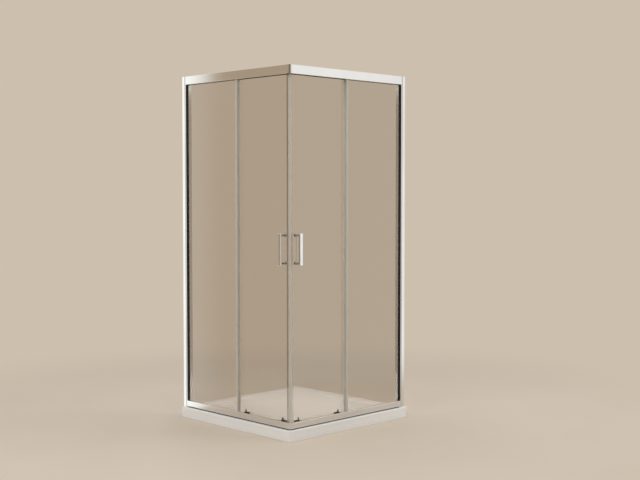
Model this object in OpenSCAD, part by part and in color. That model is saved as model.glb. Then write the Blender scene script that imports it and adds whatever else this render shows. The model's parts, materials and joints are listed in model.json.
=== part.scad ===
// Square corner-entry shower enclosure on a low tray.
// A fixed glass panel stands against each of two walls. Behind each one slides a glass
// door, and the two doors meet at the free corner with magnetic seals.
//
// Origin: the middle of the tray's underside, +Z up. The walls are at -X and +Y, so the
// free corner is at +X -Y.
// Each panel is drawn once, in panel coordinates, and placed twice: the front panel faces
// -Y and the side panel faces +X. In panel coordinates X runs from the free corner to the
// wall, Y runs from the panel's outer face into the cabin, and Z is height above the floor.

/* [Tray] */
// Length of each side of the square tray
tray_w = 900; // [840:10:1000]
// Height of the tray
tray_h = 57; // [52:1:80]
// Rounding of the tray's upright edges
tray_corner_r = 8; // [3:1:20]
// Flat rim left between the frame and the sloping floor
rim_margin = 4; // [2:1:20]
// Rounding of the sloping floor's corners in plan
floor_corner_r = 40; // [20:1:80]
// Fall of the floor from its far corner to the waste
floor_fall = 8; // [5:1:12]

/* [Waste] */
// Diameter of the waste hole through the tray
waste_hole_d = 90; // [80:1:96]
// Width of the flange's lip outside the waste hole
waste_lip = 11; // [8:1:16]
// Gap between the flange and the edge of the sloping floor
waste_margin = 4; // [2:1:40]
// Thickness of the flange
waste_flange_t = 3.5; // [3:0.5:5]
// Thickness of the rubber seal under the flange
waste_seal_t = 1.5; // [1:0.5:3]
// Wall thickness of the waste cup
waste_wall = 3; // [2:0.5:4]
// Outside diameter of the outlet under the cup
outlet_d = 50; // [40:1:60]
// Length of the outlet under the cup
outlet_len = 20; // [16:1:24]
// Diameter of the cover over the waste
cover_d = 104; // [96:1:110]
// Thickness of the cover
cover_t = 3; // [2:0.5:4]
// Gap for water under the cover
cover_gap = 2; // [1.5:0.5:4]

/* [Frame] */
// Distance from the tray's edge to the frame's outer face
frame_inset = 20; // [16:1:40]
// Height of the frame above the tray
frame_h = 1850; // [1700:10:2000]
// Thickness of the aluminium sections
wall_t = 1.6; // [1.4:0.1:2]
// Height of the top rails
top_rail_h = 45; // [44:1:60]
// Height of the bottom rails
bottom_rail_h = 36; // [34:1:50]
// Height of the low inner lip of the bottom rails
inner_lip_h = 16; // [12:1:20]
// Height of the shadow gap between the tray and the bottom rails' outer face
shadow_gap_h = 4; // [2:0.5:5]
// Depth of the shadow gap behind that face
shadow_gap_d = 5; // [3:0.5:6]
// Height by which the inner wall of the bottom rails' slots stands lower than the outer one
slot_step = 2; // [1:0.5:3]
// Radius of the rounded corner pieces
corner_r = 18; // [10:1:20]
// Length of the corner pieces' legs inside the rails
corner_leg = 40; // [36:1:60]
// Width of the wall profiles' flanges
wall_flange = 24; // [20:1:40]
// Width of the jamb that shows beside the wall profile
jamb_face = 6; // [4:1:12]
// Depth by which the jamb reaches into the wall profile
jamb_reach = 16; // [15:1:18]
// Hole for the screws that hold the wall profile to the wall
wall_hole_d = 6; // [5:0.5:8]
// Distance between neighbouring wall screws
wall_hole_pitch = 800; // [600:10:820]

/* [Glass] */
// Thickness of all panes
glass_t = 5; // [5:0.5:6]
// Depth of the fixed panes behind the frame's outer face
fixed_setback = 10; // [9:0.5:14]
// Gap between a fixed pane and the door behind it
pane_gap = 12; // [11.5:0.5:14]
// Width of each sliding door's pane
door_w = 398; // [380:1:430]
// Width by which a closed door overlaps the fixed pane
pane_overlap = 14; // [10:1:18]
// Height of the door pane's lower edge above the tray
door_lift = 30; // [29:1:31]
// Thickness of the rubber on each side of a fixed pane
gasket_t = 1.6; // [1.4:0.1:2.5]
// Width of the black rubber lip that shows beside the jamb
gasket_lip_w = 8; // [5:1:12]
// Depth of the slots that hold the fixed panes
slot_depth = 14; // [12:1:14]

/* [Seals] */
// Wall thickness of the clip-on seals
seal_t = 2; // [1.5:0.5:2.5]
// Width of a seal's grip on the glass
seal_grip = 12; // [8:1:14]
// Distance from the mitre line to the door pane's leading edge
seal_head = 5; // [5:0.5:8]
// Cut-off at the outer corner of the magnetic seals
seal_chamfer = 8; // [4:1:9]
// Thickness of the magnetic strip inside each corner seal
magnet_t = 1.6; // [1:0.2:1.6]
// Width of the magnetic strip
magnet_w = 4; // [3:0.5:4]
// Width of the strip's lip in front of the fixed pane
strip_lip = 6; // [4:1:8]

/* [Handles] */
// Height of the handle bar
handle_h = 165; // [120:5:240]
// Width of the handle bar
handle_w = 24; // [16:1:26]
// Thickness of the handle bar
handle_t = 12; // [8:1:16]
// Distance between the glass and the bar
handle_reach = 30; // [26:1:34]
// Distance from the door's leading edge to the middle of the handle
handle_inset = 31; // [28:1:60]
// Height of the handle's middle above the tray
handle_z = 918; // [800:1:1100]
// Diameter of the handle's standoffs
standoff_d = 14; // [10:1:16]
// Distance from the bar's end to the middle of a standoff
standoff_inset = 11; // [10:1:30]
// Diameter of the handle's screws
handle_screw_d = 6; // [5:0.5:7]
// Thickness of the clear washers under the standoffs
washer_t = 1; // [0.5:0.5:2]
// Diameter of the inner caps of the handle screws
handle_cap_d = 18; // [14:1:22]

/* [Rollers] */
// Radius of the wheel where it runs on the track
wheel_r = 10; // [9:0.5:10.5]
// Height of the wheel's rims beside the track
wheel_rim = 2; // [1.5:0.5:2.5]
// Width of the wheel
wheel_w = 8; // [7:0.5:10]
// Width of the rib that the wheel runs on
track_w = 3; // [2:0.5:4]
// Height of the rib's top above the rail's underside
track_h = 9; // [8:0.5:10]
// Diameter of the wheel's axle
axle_d = 6; // [5:0.5:7]
// Offset of the axle in its bush, for setting the door's height
bush_offset = 1.5; // [0.5:0.5:1.5]
// Diameter of the bush where it passes the glass
bush_d = 12; // [12:0.5:13]
// Gap between the glass and the wheel
wheel_gap = 2.5; // [2:0.5:4]
// Distance from a door's edge to its nearer wheel
hanger_inset = 50; // [40:1:80]
// Length of the rubber stops in the top rail
stop_len = 14; // [10:1:14]

/* [Guides] */
// Length of a bottom guide
guide_len = 34; // [32:1:44]
// Height of a bottom guide's lower edge above the tray
guide_h0 = 24; // [23:1:25]
// Height of a bottom guide's upper edge above the tray
guide_h1 = 38; // [36:1:42]
// Distance from the leading edge of the door to its first guide
guide_lead = 38; // [36:1:80]
// Distance from the trailing edge of the door to its second guide
guide_trail = 70; // [40:1:100]
// Width of the release bolt
bolt_w = 20; // [16:1:22]
// Thickness of the release bolt
bolt_t = 3; // [2.5:0.5:3.5]
// Width of the bolt's thumb tab
tab_w = 6; // [5:1:8]
// Height of the thumb tab's top above the tray
tab_h = 52; // [48:1:58]
// Width of the lip on which the bolt rests and of the toe that keeps it in
bolt_catch = 2; // [1.5:0.5:2]
// Height of the fin in the bottom rail that the guides run on
fin_h = 18; // [16:1:18]

/* [Hidden] */

$fn = 48;

// Cuts run this far past the faces that they open
over = 1;
// Radial clearance of a shaft or screw in its hole
fit = 0.05;
// Clearance between pieces that slide past each other
slide_gap = 0.3;
// Clearance between pieces that are only pushed together
seat_gap = 0.1;

// Colours
aluminium = "#d3d5d8";
chrome = "#e3e6ea";
steel = "#b9bcc0";
glass_tint = "#b9c9c4";
tray_white = "#f0ede8";
black_rubber = "#1c1c1e";
black_plastic = "#232325";
clear_plastic = "#cfd3d2";
grey_plastic = "#6f6c68";
white_plastic = "#eeeeec";

// Depths in the panel, from its outer face inwards
slot_d0 = fixed_setback - gasket_t;
slot_d1 = fixed_setback + glass_t + gasket_t;
run_d0 = slot_d1 + wall_t;
door_d0 = fixed_setback + glass_t + pane_gap;
door_d1 = door_d0 + glass_t;
wheel_d0 = door_d1 + wheel_gap;
wheel_d1 = wheel_d0 + wheel_w;
wheel_mid = (wheel_d0 + wheel_d1) / 2;
axle_head_t = 1.5;
axle_head_gap = 0.4;
frame_depth = wheel_d1 + axle_head_t + axle_head_gap + wall_t;

// Plan sizes of the frame
outer = tray_w / 2 - frame_inset;
panel_len = tray_w / 2 + outer;
jamb_u0 = panel_len - wall_flange - jamb_face;
jamb_u1 = jamb_u0 + jamb_face + jamb_reach;

// Heights
rail_top_z = tray_h + frame_h;
top_rail_z = rail_top_z - top_rail_h;
bottom_rail_top_z = tray_h + bottom_rail_h;

// Top rail, heights measured from its underside
slot_roof_h = slot_depth + wall_t;
rib_h = 3.4;
shelf_top_h = track_h - rib_h;
shelf_d0 = wheel_mid - track_w / 2 - axle_head_t;
axle_h = track_h + slide_gap + wheel_r;
glass_over_axle = bush_d / 2 + 8;
axle_z = top_rail_z + axle_h;

// Screw ports that run along the rails
port_r = 3.4;
port_sink = 0.6;
port_hole_r = 2.15;
port_d_outer = run_d0 + port_r + 1.1;
port_d_inner = frame_depth - 2 * wall_t - slide_gap - port_r - 1.1;
port_h_top = top_rail_h - wall_t - port_r + port_sink;
port_h_bottom = wall_t + port_r - port_sink;

// Fixed pane
door_u0 = door_d1 + seal_head;
door_u1 = door_u0 + door_w;
fixed_u0 = door_u1 - pane_overlap;
fixed_u1 = jamb_u0 + slot_depth - gasket_t - 0.4;
fixed_z0 = tray_h + bottom_rail_h - slot_depth + gasket_t;
fixed_z1 = top_rail_z + slot_depth - gasket_t - 0.4;
strip_u0 = fixed_u0 - strip_lip;
strip_grip = seal_grip - 2;
strip_fin_z = tray_h + tab_h + 20;

// Door pane
door_z0 = tray_h + door_lift;
door_z1 = axle_z + glass_over_axle;
seal_z0 = bottom_rail_top_z + 1;
seal_z1 = top_rail_z - 1;
wheel_lead_u = door_u0 + hanger_inset;
wheel_trail_u = door_u1 - hanger_inset;
wheel_rim_r = wheel_r + wheel_rim;
groove_w = track_w + 1;
bush_flange_r = bush_d / 2 + 3;
bush_flange_t = 2.4;

// Handles
handle_u = door_u0 + handle_inset;
handle_hole_r = handle_screw_d / 2 + 2;
handle_cap_t = 6;
handle_mid_z = tray_h + handle_z;
standoff_zs = [
    handle_mid_z - handle_h / 2 + standoff_inset,
    handle_mid_z + handle_h / 2 - standoff_inset
];
// The door opens until the handle's standoffs near the fixed pane's edge strip
handle_stop_gap = 5;
door_travel = strip_u0 - handle_u - standoff_d / 2 - handle_stop_gap;

// Door stops
stop_gap = 0.5;
stop_top_h = axle_h + wheel_r;

// Bottom guides
fin_d0 = door_d0;
guide_lead_u = door_u0 + guide_lead;
guide_trail_u = door_u1 - guide_trail;
bolt_d1 = door_d0 - slide_gap;
bolt_d0 = bolt_d1 - bolt_t;
guide_front_t = 2.2;
guide_back_t = 3.1;
guide_d0 = bolt_d0 - slide_gap - guide_front_t;
guide_d1 = door_d1 + seat_gap + guide_back_t;
guide_foot_h = fin_h / 2;
grub_r = 2;

// Tray floor and waste
rim = frame_inset + frame_depth + rim_margin;
waste_flange_r = waste_hole_d / 2 + waste_lip;
waste_x = tray_w / 2 - rim - waste_margin - waste_flange_r;
floor_half = tray_w / 2 - rim;
floor_low_z = tray_h - floor_fall;
fall_r = (floor_half + waste_x) * sqrt(2);
cup_r = waste_hole_d / 2 - 2 * fit;
cup_top_z = floor_low_z - waste_flange_t - waste_seal_t;
outlet_z0 = 2;
cup_z0 = outlet_z0 + outlet_len;

// Screws
corner_screw_r = 2;
corner_screw_len = 12;
corner_screw_us = [corner_r + corner_leg * 0.35, corner_r + corner_leg * 0.8];
jamb_screw_r = 2;
jamb_screw_len = 12;
jamb_screw_zs = [tray_h + frame_h * 0.12, tray_h + frame_h * 0.5, tray_h + frame_h * 0.88];
rail_screw_len = 25;
rail_screw_head = [3.2, 2.4];

// Placement of the two panels

module on_front() {
    translate([outer, -outer, 0]) mirror([1, 0, 0]) children();
}

module on_side() {
    translate([outer, -outer, 0]) rotate([0, 0, 90]) children();
}

// Helpers

// Rectangle with rounded corners, centred
module rounded_rect(w, h, r) {
    square([w - 2 * r, h], center = true);
    square([w, h - 2 * r], center = true);
    for (sx = [-1, 1], sy = [-1, 1])
        translate([sx * (w / 2 - r), sy * (h / 2 - r)]) circle(r);
}

// Runs a section, drawn as depth and height, along the panel
module run_along(u0, u1) {
    translate([u0, 0, 0]) rotate([90, 0, 90]) linear_extrude(u1 - u0) children();
}

// Stands a plan outline between two heights
module stand(z0, z1) {
    translate([0, 0, z0]) linear_extrude(z1 - z0) children();
}

// Block from one corner to the opposite one
module block(from, to) {
    translate(from) cube(to - from);
}

// Points an upright shape's +Z along the panel's depth, into the cabin
module inwards(u, d, z) {
    translate([u, d, z]) rotate([-90, 0, 0]) children();
}

// Pan-head screw with its head standing on z = 0 and a cross recess in the head
module pan_screw(r, len, head_r, head_t) {
    recess = 0.8;
    difference() {
        union() {
            translate([0, 0, -len]) cylinder(h = len, r = r);
            cylinder(h = head_t, r = head_r);
        }
        for (a = [0, 90])
            rotate([0, 0, a])
                translate([-head_r * 0.6, -recess / 2, head_t - recess])
                    cube([head_r * 1.2, recess, recess + over]);
    }
}

// Cuts a rail to the mitre at the free corner and to the rounded corner piece
module mitred(h0, h1) {
    gap = slide_gap / 2;
    far = frame_depth + over;
    difference() {
        children();
        stand(h0 - over, h1 + over)
            polygon([
                [-over, -over],
                [corner_r + seat_gap, -over],
                [corner_r + seat_gap, corner_r + seat_gap - gap],
                [far + gap, far],
                [-over, far]
            ]);
    }
}

// Tray and waste

module shower_tray() color(tray_white) difference() {
    stand(0, tray_h) rounded_rect(tray_w, tray_w, tray_corner_r);
    // Floor: a shallow cone that falls to the waste, cut off at a rounded square
    intersection() {
        stand(0, tray_h + over) rounded_rect(2 * floor_half, 2 * floor_half, floor_corner_r);
        translate([waste_x, -waste_x, floor_low_z])
            cylinder(h = 2 * floor_fall, r1 = waste_flange_r, r2 = 2 * fall_r, $fn = 96);
    }
    translate([waste_x, -waste_x, 0]) {
        translate([0, 0, -over]) cylinder(h = tray_h + 2 * over, r = waste_hole_d / 2);
        translate([0, 0, cup_top_z]) cylinder(h = tray_h, r = waste_flange_r + seat_gap);
    }
}

module waste_cup() color(grey_plastic) translate([waste_x, -waste_x, 0]) difference() {
    union() {
        translate([0, 0, cup_z0]) cylinder(h = cup_top_z - cup_z0, r = cup_r);
        translate([0, 0, outlet_z0]) cylinder(h = outlet_len + over, r = outlet_d / 2);
    }
    translate([0, 0, cup_z0 + waste_wall]) cylinder(h = tray_h, r = cup_r - waste_wall);
    cylinder(h = tray_h, r = outlet_d / 2 - waste_wall);
}

module waste_seal() color(black_rubber) translate([waste_x, -waste_x, cup_top_z]) difference() {
    cylinder(h = waste_seal_t, r = waste_flange_r - seat_gap);
    translate([0, 0, -over]) cylinder(h = waste_seal_t + 2 * over, r = cup_r - waste_wall);
}

module waste_flange() color(chrome) {
    sieve_r = cup_r - waste_wall - seat_gap;
    slots = 12;
    translate([waste_x, -waste_x, cup_top_z + waste_seal_t]) difference() {
        cylinder(h = waste_flange_t, r = waste_flange_r - seat_gap);
        for (i = [0 : slots - 1])
            rotate([0, 0, i * 360 / slots])
                translate([sieve_r * 0.35, -2.5, -over])
                    cube([sieve_r * 0.55, 5, waste_flange_t + 2 * over]);
    }
}

module waste_cover() color(tray_white) {
    feet = 3;
    translate([waste_x, -waste_x, floor_low_z]) {
        translate([0, 0, cover_gap]) cylinder(h = cover_t, r = cover_d / 2);
        for (i = [0 : feet - 1])
            rotate([0, 0, i * 360 / feet + 15])
                translate([cover_d / 2 - 6, 0, 0]) cylinder(h = cover_gap + over, r = 3);
    }
}

// Frame sections, drawn as depth and height from the rail's underside

module screw_port(d, h) {
    translate([d, h]) circle(port_r);
}

module port_hole(d, h) {
    translate([d, h]) circle(port_hole_r);
}

module top_rail_section() {
    difference() {
        union() {
            difference() {
                square([frame_depth, top_rail_h]);
                // Slot for the fixed pane
                translate([slot_d0, -over]) square([slot_d1 - slot_d0, slot_depth + over]);
                // Narrow hollow behind the outer face, and the wide one above the slot
                translate([wall_t, wall_t]) square([slot_d0 - 2 * wall_t, slot_depth]);
                translate([wall_t, slot_roof_h])
                    square([frame_depth - 2 * wall_t, top_rail_h - slot_roof_h - wall_t]);
                // Run for the door, open downwards
                translate([run_d0, -over])
                    square([frame_depth - wall_t - run_d0, slot_roof_h + 2 * over]);
            }
            // Shelf with the rib that the wheels run on
            translate([shelf_d0, shelf_top_h - wall_t]) square([frame_depth - shelf_d0, wall_t]);
            translate([wheel_mid - track_w / 2, shelf_top_h - wall_t])
                square([track_w, rib_h + wall_t]);
            screw_port(port_d_outer, port_h_top);
            screw_port(port_d_inner, port_h_top);
        }
        port_hole(port_d_outer, port_h_top);
        port_hole(port_d_inner, port_h_top);
    }
}

module bottom_rail_section() {
    slot_floor = bottom_rail_h - slot_depth;
    hollow_h0 = shadow_gap_h + wall_t;
    difference() {
        union() {
            difference() {
                square([frame_depth, bottom_rail_h]);
                translate([-over, -over]) square([shadow_gap_d + over, shadow_gap_h + over]);
                translate([slot_d0, slot_floor]) square([slot_d1 - slot_d0, slot_depth + over]);
                translate([slot_d0, bottom_rail_h - slot_step]) square([frame_depth, bottom_rail_h]);
                // Hollow under the slot, which goes round the shadow gap
                translate([shadow_gap_d + wall_t, wall_t])
                    square([slot_d1 - shadow_gap_d - wall_t, slot_floor - 2 * wall_t]);
                translate([wall_t, hollow_h0])
                    square([slot_d1 - wall_t, slot_floor - wall_t - hollow_h0]);
                // Narrow hollow behind the outer face
                translate([wall_t, hollow_h0])
                    square([slot_d0 - 2 * wall_t, bottom_rail_h - wall_t - hollow_h0]);
                // Channel that the guides run in, with its low inner lip
                translate([run_d0, wall_t])
                    square([frame_depth - wall_t - run_d0, bottom_rail_h]);
                translate([run_d0, inner_lip_h]) square([frame_depth, bottom_rail_h]);
            }
            translate([fin_d0, 0]) square([wall_t, fin_h]);
            screw_port(port_d_outer, port_h_bottom);
            screw_port(port_d_inner, port_h_bottom);
        }
        port_hole(port_d_outer, port_h_bottom);
        port_hole(port_d_inner, port_h_bottom);
    }
}

module top_rail() color(aluminium) difference() {
    translate([0, 0, top_rail_z])
        mitred(0, top_rail_h) run_along(0, jamb_u0) top_rail_section();
    // Holes for the corner piece's screws
    for (u = corner_screw_us)
        translate([u, corner_leg_mid(), rail_top_z - wall_t - over])
            cylinder(h = wall_t + 2 * over, r = corner_screw_r + fit);
}

module bottom_rail() color(aluminium) difference() {
    translate([0, 0, tray_h])
        mitred(0, bottom_rail_h) run_along(0, jamb_u0) bottom_rail_section();
    for (u = corner_screw_us)
        inwards(u, slot_d1 - over, corner_screw_low_z())
            cylinder(h = wall_t + 2 * over, r = corner_screw_r + fit);
}

// Uprights, drawn in plan

module wall_profile() color(aluminium) difference() {
    stand(tray_h, rail_top_z) difference() {
        translate([panel_len - wall_flange, 0]) square([wall_flange, frame_depth]);
        translate([panel_len - wall_flange - over, wall_t])
            square([wall_flange - wall_t + over, frame_depth - 2 * wall_t]);
    }
    for (i = [-1 : 1])
        translate([panel_len - wall_t - over, frame_depth / 2, wall_hole_mid_z() + i * wall_hole_pitch])
            rotate([0, 90, 0]) cylinder(h = wall_t + 2 * over, r = wall_hole_d / 2);
    for (z = jamb_screw_zs)
        inwards(jamb_screw_u(), frame_depth - wall_t - over, z)
            cylinder(h = wall_t + 2 * over, r = jamb_screw_r + fit);
}

module jamb() color(aluminium) {
    d0 = wall_t + slide_gap;
    d1 = frame_depth - wall_t - slide_gap;
    slot_end = jamb_u0 + slot_depth;
    difference() {
        stand(tray_h, rail_top_z) difference() {
            translate([jamb_u0, d0]) square([jamb_u1 - jamb_u0, d1 - d0]);
            // Slot for the fixed pane, open towards the corner
            translate([jamb_u0 - over, slot_d0]) square([slot_depth + over, slot_d1 - slot_d0]);
            // Hollows behind, beside and in front of the slot
            translate([slot_end + wall_t, d0 + wall_t])
                square([jamb_u1 - slot_end - 2 * wall_t, d1 - d0 - 2 * wall_t]);
            translate([jamb_u0 + wall_t, run_d0])
                square([jamb_u1 - jamb_u0 - 2 * wall_t, d1 - wall_t - run_d0]);
            translate([jamb_u0 + wall_t, d0 + wall_t])
                square([slot_depth, slot_d0 - d0 - 2 * wall_t]);
        }
        for (d = [port_d_outer, port_d_inner], z = [tray_h + port_h_bottom, top_rail_z + port_h_top])
            translate([jamb_u0 - over, d, z])
                rotate([0, 90, 0]) cylinder(h = wall_t + 2 * over, r = port_hole_r);
        for (z = jamb_screw_zs)
            inwards(jamb_screw_u(), d1 - wall_t - over, z)
                cylinder(h = wall_t + 2 * over, r = jamb_screw_r + fit);
    }
}

module jamb_screws() color(steel) {
    for (z = jamb_screw_zs)
        inwards(jamb_screw_u(), frame_depth, z) pan_screw(jamb_screw_r, jamb_screw_len, 3.6, 2);
}

// Screws from inside the jamb into the ends of the rails
module rail_screws() color(steel) {
    for (d = [port_d_outer, port_d_inner], z = [tray_h + port_h_bottom, top_rail_z + port_h_top])
        translate([jamb_u0 + wall_t, d, z])
            rotate([0, 90, 0])
                pan_screw(port_hole_r - fit, rail_screw_len, rail_screw_head[0], rail_screw_head[1]);
}

// Corner pieces

// Square post with a quarter-round outer edge, and a leg into each rail
module corner_piece(post_h0, post_h1, leg_d1, leg_h0, leg_h1) {
    post_join = corner_r - 6;
    leg_d0 = wall_t + slide_gap;
    stand(post_h0, post_h1) intersection() {
        square(corner_r);
        translate([corner_r, corner_r]) circle(corner_r);
    }
    for (m = [0, 1])
        mirror([m, -m, 0])
            block([post_join, leg_d0, leg_h0], [corner_r + corner_leg, leg_d1, leg_h1]);
}

module top_corner_piece() color(chrome) on_side() translate([0, 0, top_rail_z]) difference() {
    corner_piece(0, top_rail_h, corner_leg_d1(), slot_roof_h + slide_gap,
        top_rail_h - wall_t - slide_gap);
    for (m = [0, 1], u = corner_screw_us)
        mirror([m, -m, 0])
            translate([u, corner_leg_mid(), top_rail_h - wall_t - corner_screw_len - over])
                cylinder(h = corner_screw_len + over, r = corner_screw_r + fit);
}

module bottom_corner_piece() color(chrome) on_side() translate([0, 0, tray_h]) difference() {
    corner_piece(shadow_gap_h, bottom_rail_h, slot_d1 - slide_gap,
        shadow_gap_h + wall_t + slide_gap, bottom_rail_h - slot_depth - wall_t - slide_gap);
    for (m = [0, 1], u = corner_screw_us)
        mirror([m, -m, 0])
            inwards(u, slot_d1 - corner_screw_len, corner_screw_low_z() - tray_h)
                cylinder(h = corner_screw_len, r = corner_screw_r + fit);
}

// Downward screws in the top rails, and level ones in the bottom rails' channels
module corner_screws() color(steel) on_side() {
    for (m = [0, 1], u = corner_screw_us)
        mirror([m, -m, 0]) {
            translate([u, corner_leg_mid(), rail_top_z])
                pan_screw(corner_screw_r, corner_screw_len, 3.6, 1.6);
            inwards(u, run_d0, corner_screw_low_z())
                pan_screw(corner_screw_r, corner_screw_len - wall_t, 3.6, 1.6);
        }
}

// Fixed pane and its rubber

module fixed_glass() color(glass_tint, 0.4)
    block([fixed_u0, fixed_setback, fixed_z0], [fixed_u1, fixed_setback + glass_t, fixed_z1]);

// Rubber in the three slots, with a lip that shows on both faces beside the jamb
module glass_gasket() color(black_rubber) {
    d0 = slot_d0 + fit;
    d1 = slot_d1 - fit;
    lip_t = 2 * gasket_t;
    lip_d0 = fixed_setback - lip_t;
    lip_d1 = fixed_setback + glass_t + lip_t;
    rail_set_back = 2;
    difference() {
        union() {
            block([jamb_u0, d0, fixed_z0 - gasket_t], [jamb_u0 + slot_depth - fit, d1, fixed_z1]);
            block([strip_u0, d0, fixed_z0 - gasket_t],
                [jamb_u0 + slot_depth - fit, d1, bottom_rail_top_z - slot_step - rail_set_back]);
            block([strip_u0, d0, top_rail_z + rail_set_back],
                [jamb_u0 + slot_depth - fit, d1, top_rail_z + slot_depth - fit]);
            block([jamb_u0 - gasket_lip_w, lip_d0, bottom_rail_top_z + seat_gap],
                [jamb_u0, lip_d1, top_rail_z - seat_gap]);
        }
        block([fixed_u0 - fit, fixed_setback - fit, fixed_z0],
            [fixed_u1 + fit, fixed_setback + glass_t + fit, fixed_z1 + fit]);
    }
}

// Black plugs that close the gasket's ends on the rails
module gasket_plugs() color(black_rubber) {
    plug = [14, fixed_setback - 2 * gasket_t - 2 * seat_gap - 3, 11];
    for (z = [bottom_rail_top_z + seat_gap, top_rail_z - seat_gap - plug[2]])
        translate([jamb_u0 - plug[0] - seat_gap, 3, z]) cube(plug);
}

// Clear strip clipped on the fixed pane's free edge, with a fin that brushes the door
module fixed_edge_strip() color(clear_plastic, 0.7) {
    clip_d0 = fixed_setback - seal_t;
    clip_d1 = fixed_setback + glass_t + seal_t;
    z0 = bottom_rail_top_z + 1;
    z1 = top_rail_z - 1;
    stand(z0, z1) difference() {
        translate([strip_u0, clip_d0])
            square([strip_lip + strip_grip, clip_d1 - clip_d0]);
        translate([fixed_u0 - fit, fixed_setback - fit])
            square([strip_grip + over, glass_t + 2 * fit]);
    }
    stand(strip_fin_z, z1)
        translate([strip_u0, clip_d1 - over])
            square([1.5, door_d0 - slide_gap - clip_d1 + over]);
}

// Rubber blocks that stop the wheels, one at each end of the door's travel
module door_stops() color(black_rubber) {
    rib_room = track_w + 2 * seat_gap;
    starts = [
        wheel_lead_u - wheel_rim_r - stop_gap - stop_len,
        wheel_trail_u + door_travel + wheel_rim_r + stop_gap
    ];
    translate([0, 0, top_rail_z])
        for (u = starts)
            difference() {
                block([u, shelf_d0 + seat_gap, shelf_top_h + seat_gap],
                    [u + stop_len, frame_depth - wall_t - seat_gap, stop_top_h]);
                block([u - over, wheel_mid - rib_room / 2, 0],
                    [u + stop_len + over, wheel_mid + rib_room / 2, track_h + seat_gap]);
            }
}

// Sliding door

module door_glass() color(glass_tint, 0.4) difference() {
    block([door_u0, door_d0, door_z0], [door_u1, door_d1, door_z1]);
    for (u = [wheel_lead_u, wheel_trail_u])
        inwards(u + bush_offset, door_d0 - over, axle_z)
            cylinder(h = glass_t + 2 * over, r = bush_d / 2);
    for (z = standoff_zs)
        inwards(handle_u, door_d0 - over, z)
            cylinder(h = glass_t + 2 * over, r = handle_hole_r);
}

// Corner seal: a clip on the glass and a mitred head that holds the magnet
module magnetic_seal() color(white_plastic) stand(seal_z0, seal_z1) difference() {
    d0 = door_d0 - seal_t;
    d1 = door_d1 + seal_t;
    mitre_gap = slide_gap / 2;
    polygon([
        [door_u0 + seal_grip, d0],
        [d0 + seal_chamfer, d0],
        [d0 + (seal_chamfer + mitre_gap) / 2, d0 + (seal_chamfer - mitre_gap) / 2],
        [d1 + mitre_gap, d1],
        [door_u0 + seal_grip, d1]
    ]);
    translate([door_u0 - fit, door_d0 - fit]) square([seal_grip + 2 * over, glass_t + 2 * fit]);
    magnet_place() square([magnet_t + 2 * seat_gap, magnet_w + 2 * seat_gap], center = true);
}

// Puts a plan shape beside the mitre, turned to lie along it
module magnet_place() {
    skin = 0.8;
    off = (skin + magnet_t / 2 + seat_gap) / sqrt(2);
    mid = (door_d0 - seal_t + seal_chamfer / 2 + door_d1 + seal_t) / 2;
    translate([mid + off, mid - off]) rotate(-45) children();
}

module magnet() color(grey_plastic)
    stand(seal_z0 + 2, seal_z1 - 2)
        magnet_place() square([magnet_t, magnet_w], center = true);

// Seal on the door's trailing edge, with a fin that wipes the fixed pane
module trailing_seal() color(grey_plastic) stand(seal_z0, seal_z1) {
    d0 = door_d0 - seal_t + 0.5;
    d1 = door_d1 + seal_t - 0.5;
    fin_t = 1.5;
    fin_foot = door_u1 + seal_t - fin_t;
    difference() {
        translate([door_u1 - seal_grip + seal_t, d0]) square([seal_grip, d1 - d0]);
        translate([door_u1 - seal_grip, door_d0 - fit]) square([seal_grip + fit, glass_t + 2 * fit]);
    }
    polygon([
        [fin_foot, d0 + over],
        [fin_foot - 2, fixed_setback + glass_t + slide_gap],
        [fin_foot - 2 + fin_t, fixed_setback + glass_t + slide_gap],
        [fin_foot + fin_t, d0 + over]
    ]);
}

module handle() color(chrome) {
    bar_d1 = door_d0 - handle_reach;
    edge_r = handle_t / 3;
    difference() {
        union() {
            stand(handle_mid_z - handle_h / 2, handle_mid_z + handle_h / 2)
                translate([handle_u, bar_d1 - handle_t / 2]) rounded_rect(handle_w, handle_t, edge_r);
            for (z = standoff_zs)
                inwards(handle_u, bar_d1 - over, z)
                    cylinder(h = handle_reach - washer_t + over, r = standoff_d / 2);
        }
        for (z = standoff_zs)
            inwards(handle_u, bar_d1 + handle_reach / 3, z)
                cylinder(h = handle_reach, r = handle_screw_d / 2 + fit);
    }
}

// Clear washers between standoff and glass, each with a sleeve through the glass
module handle_washers() color(clear_plastic, 0.7)
    for (z = standoff_zs)
        inwards(handle_u, door_d0 - washer_t, z) difference() {
            union() {
                cylinder(h = washer_t, r = standoff_d / 2 + 1);
                cylinder(h = washer_t + glass_t - seat_gap, r = handle_hole_r - fit);
            }
            translate([0, 0, -over])
                cylinder(h = washer_t + glass_t + 2 * over, r = handle_screw_d / 2 + fit);
        }

module handle_screws() color(chrome)
    for (z = standoff_zs)
        inwards(handle_u, door_d1, z) {
            translate([0, 0, -glass_t - handle_reach / 2])
                cylinder(h = glass_t + handle_reach / 2 + over, r = handle_screw_d / 2);
            rotate_extrude() polygon([
                [0, 0], [handle_cap_d / 2, 0], [handle_cap_d / 2, handle_cap_t - 2],
                [handle_cap_d / 2 - 2, handle_cap_t], [0, handle_cap_t]
            ]);
        }

// Eccentric bushes that clamp in the glass and carry the axles off centre
module roller_bushes() color(steel)
    for (u = [wheel_lead_u, wheel_trail_u])
        inwards(u, door_d0 - seat_gap - bush_flange_t, axle_z) difference() {
            translate([bush_offset, 0, 0]) {
                cylinder(h = bush_flange_t, r = bush_flange_r);
                cylinder(h = bush_flange_t + seat_gap + glass_t, r = bush_d / 2 - fit);
            }
            translate([0, 0, -over])
                cylinder(h = bush_flange_t + glass_t + 3 * over, r = axle_d / 2 + fit);
        }

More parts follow.
